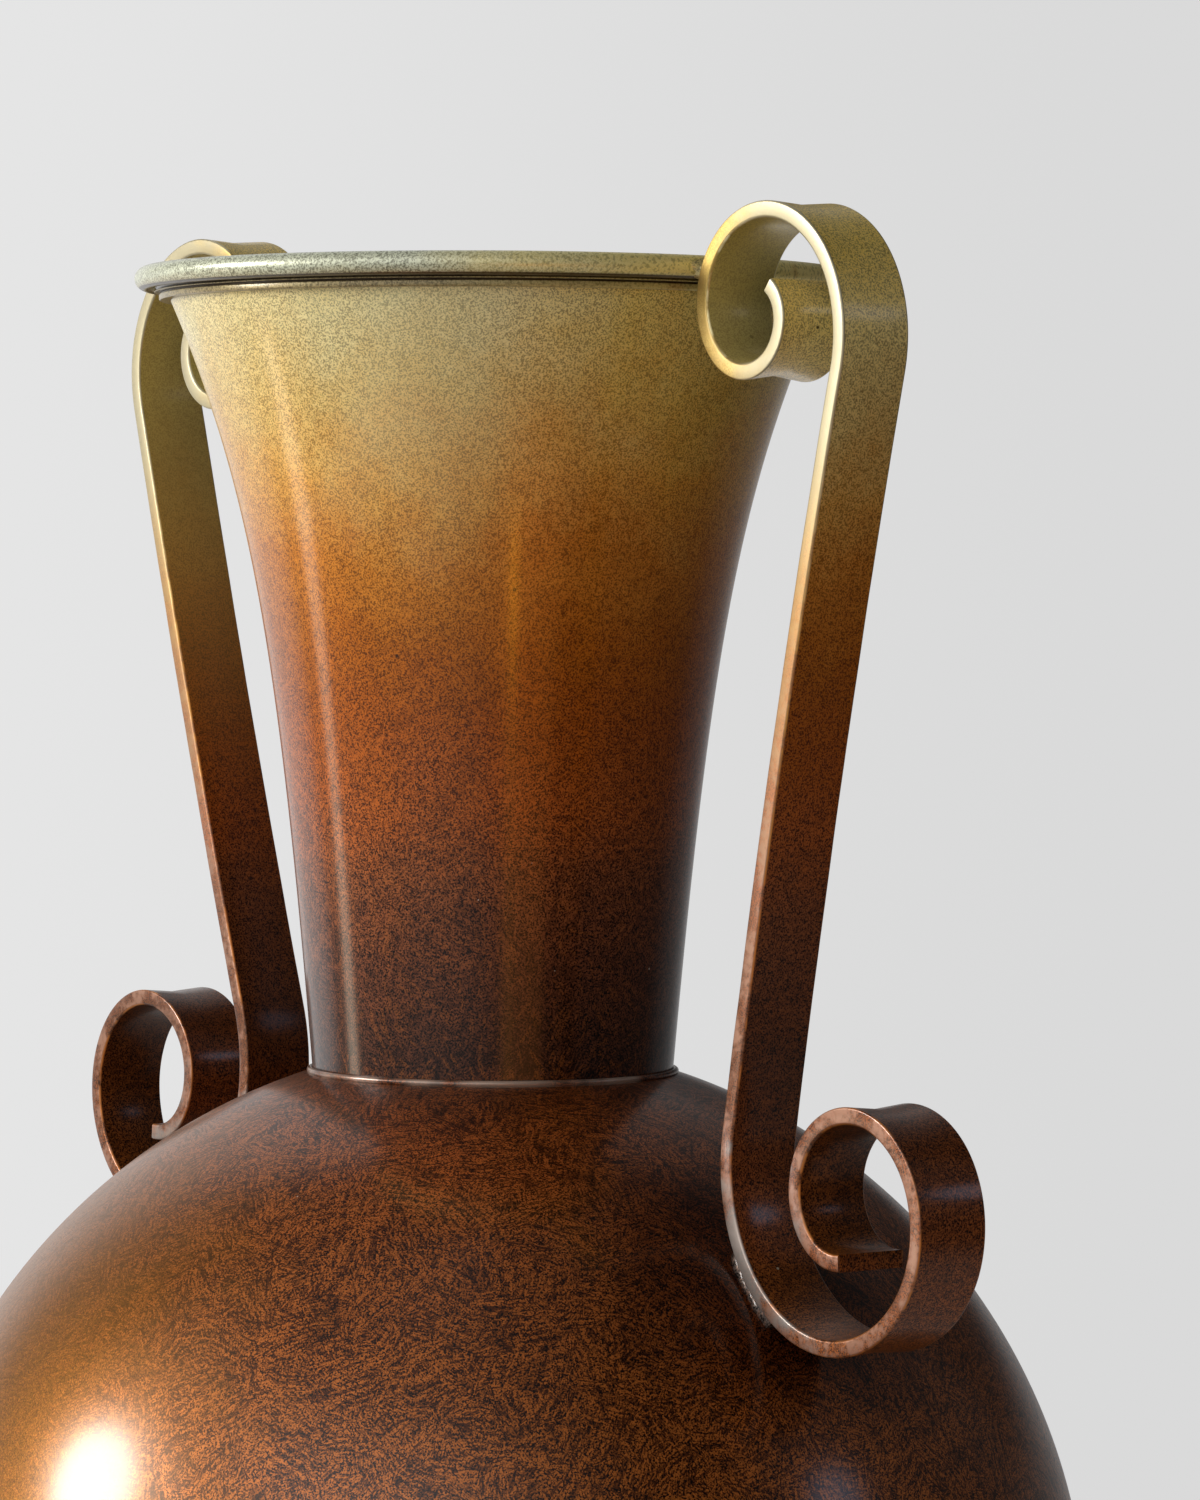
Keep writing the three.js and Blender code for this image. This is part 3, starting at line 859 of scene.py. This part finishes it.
# %% The two scrolls
STRAP_WIDTH = 14.6
STRAP_THICKNESS = 3
RIM_SCROLL_TAPER = 0.754
RIM_SCROLL_END = 405
RIM_CONTACT_ANGLE = -18
RIM_SOLDER = 2.1
SHOULDER_SCROLL_TAPER = 0.795
SHOULDER_SCROLL_END = 628
SHOULDER_SOLDER = 0.3
LEAN_TRIES = 40
Bend = namedtuple("Bend", "rim_radius shoulder_radius seat bow heading")
BENDS = {"right": Bend(14.4, 28.1, 41.2, -2.1, 0), "left": Bend(15.7, 29.0, 44.8, 1.5, 180)}


def polar(length, degrees):
    angle = math.radians(degrees)
    return np.array((length * math.cos(angle), length * math.sin(angle)))


class Scroll:
    """A spiral in the handle's plane that passes through a touching point and faces away from it."""

    def __init__(self, touch, facing, radius, taper):
        self.tightening = -math.log(taper) / (math.pi / 2)
        self.lead = math.degrees(math.atan(self.tightening))
        self.touch_angle = facing + 180 - self.lead
        self.centre = touch - polar(radius, self.touch_angle)
        self.size = radius * math.exp(self.tightening * math.radians(self.touch_angle))

    def point(self, degrees, outward=0.0):
        radius = self.size * math.exp(-self.tightening * math.radians(degrees))
        return self.centre + polar(radius, degrees) + polar(outward, degrees + self.lead)


def handle_scrolls(bend):
    """The upper and lower scroll of a handle, each with the angle at which the run between them starts."""
    off_rim = BEAD_RADIUS + RIM_SOLDER + 2 * FIT + STRAP_THICKNESS / 2
    upper = Scroll(np.array((bead_x, bead_z)) + polar(off_rim, RIM_CONTACT_ANGLE), RIM_CONTACT_ANGLE,
                   bend.rim_radius, RIM_SCROLL_TAPER)
    off_globe = BODY_RADIUS + SHOULDER_SOLDER + 2 * FIT + STRAP_THICKNESS / 2
    lower = Scroll(np.array((0, body_centre)) + polar(off_globe, bend.seat), bend.seat,
                   bend.shoulder_radius, SHOULDER_SCROLL_TAPER)
    lean = 0.0
    for _ in range(LEAN_TRIES):
        starts = bend.bow - lean - upper.lead, 180 - bend.bow - lean - lower.lead
        run = upper.point(starts[0]) - lower.point(starts[1])
        lean = math.degrees(math.atan2(run[0], run[1]))
    return upper, lower, starts


for side, bend in BENDS.items():
    print(side, "run starts at", [round(angle, 2) for angle in handle_scrolls(bend)[2]], "degrees")

# %% Points along a strap
SCROLL_POINTS = 220
RUN_POINTS = 60
CURL_STARTS = (0.0, 0.14)
CURL_ENDS = (0.72, 0.97)
TURN_OVER = (0.03, 0.13)


def in_plane(along, up):
    return along.node("ShaderNodeCombineXYZ", sockets={"X": along, "Z": up})


def spiral(given, word, angle):
    """A spot on one scroll, the way it faces there, and its distance from the scroll's centre."""
    tightening = given.other(word + " Tightening")
    radius = given.other(word + " Size") * (-(tightening * angle)).math("EXPONENT")
    facing = angle + tightening.math("ARCTANGENT")
    spot = in_plane(given.other(word + " Centre X") + radius * angle.math("COSINE"),
                    given.other(word + " Centre Z") + radius * angle.math("SINE"))
    return spot, in_plane(facing.math("COSINE"), facing.math("SINE")), radius


def curl(outward, away, radius):
    """How sharply the bar bends. It starts where the scroll does and is gone at its tip."""
    return outward.scaled(away.between(*CURL_STARTS) * away.between(*CURL_ENDS, 1.0, 0.0) / radius)


def pick(switch, no, yes):
    return switch.node("GeometryNodeSwitch", {"input_type": "VECTOR"},
                       {"Switch": switch, "False": no, "True": yes})


def strap_points(given):
    """For each point of a strap: its place, its bend, and the way that its hidden face looks."""
    index = given.node("GeometryNodeInputIndex")
    on_lower = index.math("GREATER_THAN", SCROLL_POINTS + RUN_POINTS - 0.5)
    on_run = index.math("GREATER_THAN", SCROLL_POINTS - 0.5) - on_lower

    def choose(upper, run, lower):
        """The value that belongs to a point's own stretch of the strap."""
        return pick(on_lower, pick(on_run, upper, run), lower)

    rim_start, low_start = given.other("Rim Start"), given.other("Shoulder Start")
    rim_away = 1 - index / (SCROLL_POINTS - 1)
    rim_angle = rim_start + (given.other("Rim End") - rim_start) * rim_away
    rim_spot, rim_out, rim_radius = spiral(given, "Rim", rim_angle)
    low_away = (index - SCROLL_POINTS - RUN_POINTS) / (SCROLL_POINTS - 1)
    low_angle = low_start + (given.other("Shoulder End") - low_start) * low_away
    low_spot, low_out, low_radius = spiral(given, "Shoulder", low_angle)
    top, bottom = spiral(given, "Rim", rim_start)[0], spiral(given, "Shoulder", low_start)[0]
    fall = bottom.vector("SUBTRACT", top)
    share = (index - SCROLL_POINTS + 1) / (RUN_POINTS + 1)
    run_out = fall.vector("CROSS_PRODUCT", (0, 1, 0))
    bulge = run_out.scaled(given.other("Bow").math("TANGENT") * share * (1 - share))
    run_spot = top.vector("ADD", fall.scaled(share)).vector("ADD", bulge)
    spot = choose(rim_spot, run_spot, low_spot)
    bend = choose(curl(rim_out, rim_away, rim_radius), (0, 0, 0), curl(low_out, low_away, low_radius))
    hidden = choose(rim_out.scaled(-1), run_out.vector("NORMALIZE").scaled(-1),
                    low_out.scaled(low_away.between(*TURN_OVER, 1.0, -1.0)))
    return {"spine": spot, "bend": bend, "hidden": hidden}


print("points along a strap:", 2 * SCROLL_POINTS + RUN_POINTS)

# %% A bar swept along the points
EDGE_STEPS = 6


def store(shape, name, value, kind="FLOAT_VECTOR"):
    return shape.node("GeometryNodeStoreNamedAttribute", {"data_type": kind},
                      {"Geometry": shape, "Name": name, "Value": value})


def swept_bar(given, points):
    """A curve through the points, which keeps their values, and a rounded bar swept along it."""
    line = given.node("GeometryNodeMeshLine", sockets={"Count": 2 * SCROLL_POINTS + RUN_POINTS})
    spined = given.node("GeometryNodeSetPosition", sockets={"Geometry": line, "Position": points["spine"]})
    for name, value in points.items():
        spined = store(spined, name, value)
    path = given.node("GeometryNodeMeshToCurve", sockets={"Mesh": spined})
    even = given.node("GeometryNodeResampleCurve", {"mode": "LENGTH"},
                      {"Curve": path, "Length": given.other("Step")})
    upright = given.node("GeometryNodeSetCurveNormal", {"mode": "FREE"},
                         {"Curve": even, "Normal": (0, 1, 0)})
    bar = given.node("GeometryNodeCurvePrimitiveQuadrilateral", {"mode": "RECTANGLE"}, {
        "Width": given.other("Width"), "Height": given.other("Thickness")})
    soft_bar = given.node("GeometryNodeFilletCurve", {"mode": "POLY"}, {
        "Curve": bar, "Count": EDGE_STEPS, "Radius": given.other("Arris"), "Limit Radius": True})
    fine_bar = given.node("GeometryNodeSubdivideCurve", sockets={"Curve": soft_bar, "Cuts": 1})
    return given.node("GeometryNodeCurveToMesh", sockets={
        "Curve": upright, "Profile Curve": fine_bar, "Fill Caps": True})


print("steps round each edge of the bar:", EDGE_STEPS)

# %% The node tree of a strap
STRAP_INPUTS = (
    "Rim Centre X", "Rim Centre Z", "Rim Size", "Rim Tightening", "Rim Start", "Rim End",
    "Shoulder Centre X", "Shoulder Centre Z", "Shoulder Size", "Shoulder Tightening", "Shoulder Start",
    "Shoulder End", "Bow", "Width", "Thickness", "Arris", "Saddle", "Ripple", "Step", "Turn")
HIDDEN_FACE = (0.2 * MM, 1.3 * MM)
RIPPLES_PER_METRE = 60.0


def strap_tree():
    """The swept bar with its hidden face marked, its edges lifted in the bends and a slight ripple."""
    tree = bpy.data.node_groups.new("scrolled_strap", "GeometryNodeTree")
    for name in STRAP_INPUTS:
        tree.interface.new_socket(name, in_out="INPUT", socket_type="NodeSocketFloat")
    tree.interface.new_socket("Material", in_out="INPUT", socket_type="NodeSocketMaterial")
    tree.interface.new_socket("Geometry", in_out="OUTPUT", socket_type="NodeSocketGeometry")
    given = Wire(tree).node("NodeGroupInput")
    points = strap_points(given)
    swept = swept_bar(given, points)
    place = given.node("GeometryNodeInputPosition")

    def stored(name):
        return given.node("GeometryNodeInputNamedAttribute", {"data_type": "FLOAT_VECTOR"}, {"Name": name})

    inward = place.vector("SUBTRACT", stored("spine")).dot(stored("hidden"))
    sided = store(swept, "inside", inward.between(*HIDDEN_FACE), "FLOAT")
    across = place.part("Y")
    half_width = given.other("Width") / 2
    sag = (across * across - half_width * half_width) * given.other("Saddle") / 2
    wave = given.node("ShaderNodeTexNoise", sockets={
        "Vector": place, "Scale": RIPPLES_PER_METRE, "Detail": 1.0})
    ripple = given.node("GeometryNodeInputNormal").scaled((wave - 0.5) * given.other("Ripple"))
    bent = given.node("GeometryNodeSetPosition", sockets={
        "Geometry": sided, "Offset": stored("bend").scaled(sag).vector("ADD", ripple)})
    heading = given.node("ShaderNodeCombineXYZ", sockets={"Z": given.other("Turn")})
    placed = given.node("GeometryNodeTransform", sockets={"Geometry": bent, "Rotation": heading})
    for name in points:
        placed = given.node("GeometryNodeRemoveAttribute", sockets={"Geometry": placed, "Name": name})
    real = given.node("GeometryNodeRealizeInstances", sockets={"Geometry": placed})
    finished = given.node("GeometryNodeSetMaterial", sockets={
        "Geometry": real, "Material": given.other("Material")})
    given.node("NodeGroupOutput", sockets={"Geometry": finished})
    return tree


strap_nodes = strap_tree()
print("strap tree:", len(strap_nodes.nodes), "nodes")

# %% Sizes into a strap
ARRIS = 0.45
SADDLE = 0.42
RIPPLE = 0.16
STRAP_STEP = 0.8
STRAP_SHARP = 50


def strap(name, bend, material):
    """Runs the tree with one handle's sizes and keeps the result as a plain mesh."""
    upper, lower, starts = handle_scrolls(bend)
    sizes = {"Width": STRAP_WIDTH * MM, "Thickness": STRAP_THICKNESS * MM, "Arris": ARRIS * MM,
             "Saddle": SADDLE, "Ripple": RIPPLE * MM, "Step": STRAP_STEP * MM,
             "Bow": math.radians(bend.bow), "Turn": math.radians(bend.heading)}
    spans = {"Rim": (upper, starts[0], RIM_SCROLL_END),
             "Shoulder": (lower, starts[1], SHOULDER_SCROLL_END)}
    for word, (scroll, first, last) in spans.items():
        sizes[word + " Centre X"], sizes[word + " Centre Z"] = scroll.centre * MM
        sizes[word + " Size"] = scroll.size * MM
        sizes[word + " Tightening"] = scroll.tightening
        sizes[word + " Start"] = math.radians(first)
        sizes[word + " End"] = math.radians(last)
    carrier = bpy.data.objects.new(name + "_carrier", bpy.data.meshes.new(name + "_carrier"))
    scene.collection.objects.link(carrier)
    modifier = carrier.modifiers.new("strap", "NODES")
    modifier.node_group = strap_nodes
    for item in strap_nodes.interface.items_tree:
        if item.in_out == "INPUT":
            modifier[item.identifier] = material if item.name == "Material" else float(sizes[item.name])
    ready = carrier.evaluated_get(bpy.context.evaluated_depsgraph_get())
    mesh = bpy.data.meshes.new_from_object(ready)
    bpy.data.objects.remove(carrier)
    mesh.name = name
    mesh.polygons.foreach_set("use_smooth", [True] * len(mesh.polygons))
    mesh.set_sharp_from_angle(angle=math.radians(STRAP_SHARP))
    piece = bpy.data.objects.new(name, mesh)
    scene.collection.objects.link(piece)
    return piece


print("strap section in mm:", STRAP_WIDTH, "by", STRAP_THICKNESS)

# %% [markdown]
# A strap wears unlike the globe. Its edges show plain metal, with painted glints among those patches and
# thin painted highlights along the arrises; the faces that look into a scroll or at the neck have painted
# shade;
# and grey flux is left beside the solder. The tree has stored which face is hidden, and the distance from
# the bar's middle finds the edges, so no map has to be drawn.

# %% Both straps
# Colours by height for the strap edges, which are partly wear and partly painted glints, and for the arris
# lines, which are painted highlights over corners that have lost their patina.
EDGE_FADE = ((150, "#96705c"), (215, "#96705c"), (250, "#9a7864"), (290, "#a5835a"), (330, "#a88a4c"),
             (372, "#a88a4c"))
ARRIS_FADE = ((150, "#b87034"), (250, "#b8763c"), (290, "#c89a54"), (330, "#ecdca0"), (372, "#f0e4b4"))


def strap_wear_and_painted_light(place, height, finish):
    """Painted shade on the faces that look into a scroll or at the neck, plain metal with painted glints
    along the edges, painted highlights along the arrises, and grey flux beside the solder.
    """
    inside = place.node("ShaderNodeAttribute", {"attribute_name": "inside"}, output="Fac")
    # Painted shade: the faces that look into a scroll or at the neck are darkened, and olive higher up.
    colour = finish["Base Color"].blend(tone("#dce2cc"), inside * 0.9, "MULTIPLY")
    colour = colour.blend(tone("#a2925c"), inside * height.between(250, 335) * 0.65)
    across = abs(place.part("Y"))
    half = STRAP_WIDTH / 2
    edge = across.between(half - ARRIS, half - 0.3)
    corner = edge - across.between(half - 0.12, half - 0.02)
    wear_and_glint_noise = noise(place, 5, detail=4.0, shift=23)
    level = height + (wear_and_glint_noise - 0.5) * 40
    scuffs_and_glints = wear_and_glint_noise * 0.6 + noise(place, 1.2, detail=3.0, shift=35) * 0.4
    # Where the edges lose their patina: partly wear, partly painted glints of light on the edge faces.
    bare_and_glints = edge * scuffs_and_glints.between(0.42, 0.60, height.between(200, 300, 0.12, 0.7), 0.95)
    # Plain metal with painted glints on the edges, and painted highlight lines on the corners.
    for fade, where in ((EDGE_FADE, bare_and_glints), (ARRIS_FADE, corner * wear_and_glint_noise.between(0.40, 0.55))):
        colour = colour.blend(fade_at(level, fade), where)
    off_axis = abs(place.part("X"))
    pale = (off_axis + (wear_and_glint_noise - 0.5) * 20).between(70, 90) * height.between(290, 335)
    colour = colour.blend(tone("#a59e84"), edge * pale * 0.9)
    from_joint = place.vector("ABSOLUTE").vector("DISTANCE", JOINT, output="Value")
    ragged = (noise(place, 5, detail=4.0, shift=66) - 0.5) * 60
    flux = (from_joint + ragged).between(8, 26, 1.0, 0.0) * edge
    colour = colour.blend(tone("#8d8984"), flux * 0.8)
    return {"Base Color": colour, "Metallic": finish["Metallic"] + edge * 0.4,
            "Coat Weight": finish["Coat Weight"] - inside * 0.4}


HANDLE_FADE = ((FADE[0], (200, "#965227"), (225, "#75401f")) + FADE[5:12]
               + ((350, "#fbe596"), (372, "#ffdc66")))
handle_patina = patina("handle_patina", on_strap, HANDLE_FADE, lift=5.0, depth=(0.10, 0.60),
                       coat=(0.65, 1.5, 0.18), extra=strap_wear_and_painted_light)
for side, bend in BENDS.items():
    dress(strap(f"{side}_strap", bend, handle_patina), f"handle_{side}")

# %% [markdown]
# ## Solder
# The straps are held by solder alone: a small bridge from each upper scroll to the bead, and a thin wedge
# where each lower scroll lies on the globe. Both are lofts, a row of closed sections from one surface to
# the other, drawn in at the waist as molten metal is.

# %% Solder bridges at the rim
SOLDER_POINTS = 28
SOLDER_SHARP = 60
SOLDER_FADE = ((150, "#6d6058"), (220, "#6d6058"), (340, "#d9c98c"), (372, "#e2d294"))
BRIDGE_ROWS = 13
BRIDGE_SUNK = 0.7
BRIDGE_GRIP = 1.0
BRIDGE_RISE = 2.5
BRIDGE_WIDTH = 6.9
RISE_WAIST = 0.9
WIDTH_WAIST = 1.5

solder = patina("solder", on_strap, SOLDER_FADE, depth=(0.1, 0.5), rough=0.34, metal=0.6)
section_angles = np.linspace(0, math.tau, SOLDER_POINTS, endpoint=False)


def at_handle(section, heading):
    """Points of a handle's plane, as along, up and across, put on the right or the left side."""
    sign = 1 if heading == 0 else -1
    return [(sign * x, sign * y, z) for x, z, y in section]


def rim_bridge(name, bend):
    """From inside the bead to inside the strap's face."""
    way, tangent = polar(1, RIM_CONTACT_ANGLE), polar(1, RIM_CONTACT_ANGLE + 90)
    start = np.array((bead_x, bead_z)) + way * (BEAD_RADIUS - BRIDGE_SUNK)
    reach = RIM_SOLDER + 2 * FIT + BRIDGE_GRIP
    rows = []
    for t in np.linspace(0, 1, BRIDGE_ROWS):
        waist = math.sin(math.pi * t)
        middle = start + way * reach * t
        ring = []
        for angle in section_angles:
            lump = 1 + 0.06 * math.sin(3 * angle + 5 * t) + 0.04 * math.sin(7 * angle)
            rise = (BRIDGE_RISE - RISE_WAIST * waist) * lump * math.sin(angle)
            width = (BRIDGE_WIDTH - WIDTH_WAIST * waist) * lump * math.cos(angle)
            ring.append((*(middle + tangent * rise), width))
        rows.append(at_handle(ring, bend.heading))
    return skin(name, rows, solder, ring_closes=False, sharp=SOLDER_SHARP)


print("points in a section of solder:", SOLDER_POINTS)

# %% Solder wedges at the shoulder
WEDGE_ROWS = 25
WEDGE_REACH = 7.6
WEDGE_SUNK = 0.35
WEDGE_GRIP = 0.2
WEDGE_LIP = 0.4
WEDGE_TAPER = 0.9
WEDGE_HOLLOW = 0.55
WEDGE_LEAN = 0.06


def squared(value):
    """A sine or cosine pushed towards its ends, so that a round section fills a box."""
    return math.copysign(abs(value) ** 0.5, value)


def shoulder_wedge(name, bend):
    """Along the strap, between the globe and the outer face of the lower scroll."""
    lower = handle_scrolls(bend)[1]
    rows = []
    for t in np.linspace(-1, 1, WEDGE_ROWS):
        along = WEDGE_REACH * t
        out = polar(1, bend.seat + math.degrees(along / BODY_RADIUS))
        foot = np.array((0, body_centre)) + out * (BODY_RADIUS - WEDGE_SUNK)
        turned_by = math.degrees(along / bend.shoulder_radius)
        face = lower.point(lower.touch_angle - turned_by, STRAP_THICKNESS / 2 - WEDGE_GRIP)
        uneven = 0.2 * math.sin(2.3 * along) * math.cos(0.9 * along)
        half = STRAP_WIDTH / 2 + WEDGE_LIP + uneven - WEDGE_TAPER * abs(t) ** 4
        ring = []
        for angle in section_angles:
            width = half * squared(math.cos(angle))
            lift = 0.5 + 0.5 * squared(math.sin(angle))
            hollow = WEDGE_HOLLOW * math.sin(math.pi * lift) * abs(width / half) ** 6
            drop = width * width / (2 * BODY_RADIUS) * (1 - lift)
            middle = foot + (face - foot) * lift - out * drop
            ring.append((*middle, width * (1 - WEDGE_LEAN * lift) - math.copysign(hollow, width)))
        rows.append(at_handle(ring, bend.heading))
    return skin(name, rows[::-1], solder, ring_closes=False, sharp=SOLDER_SHARP)


for side, bend in BENDS.items():
    dress(rim_bridge(f"{side}_rim_solder", bend), f"rim_solder_{side}")
    dress(shoulder_wedge(f"{side}_shoulder_solder", bend), f"shoulder_solder_{side}")

# %% [markdown]
# ## The view
# The Standard view shows colours as they are written.

# %% Finish
scene.view_settings.view_transform = "Standard"
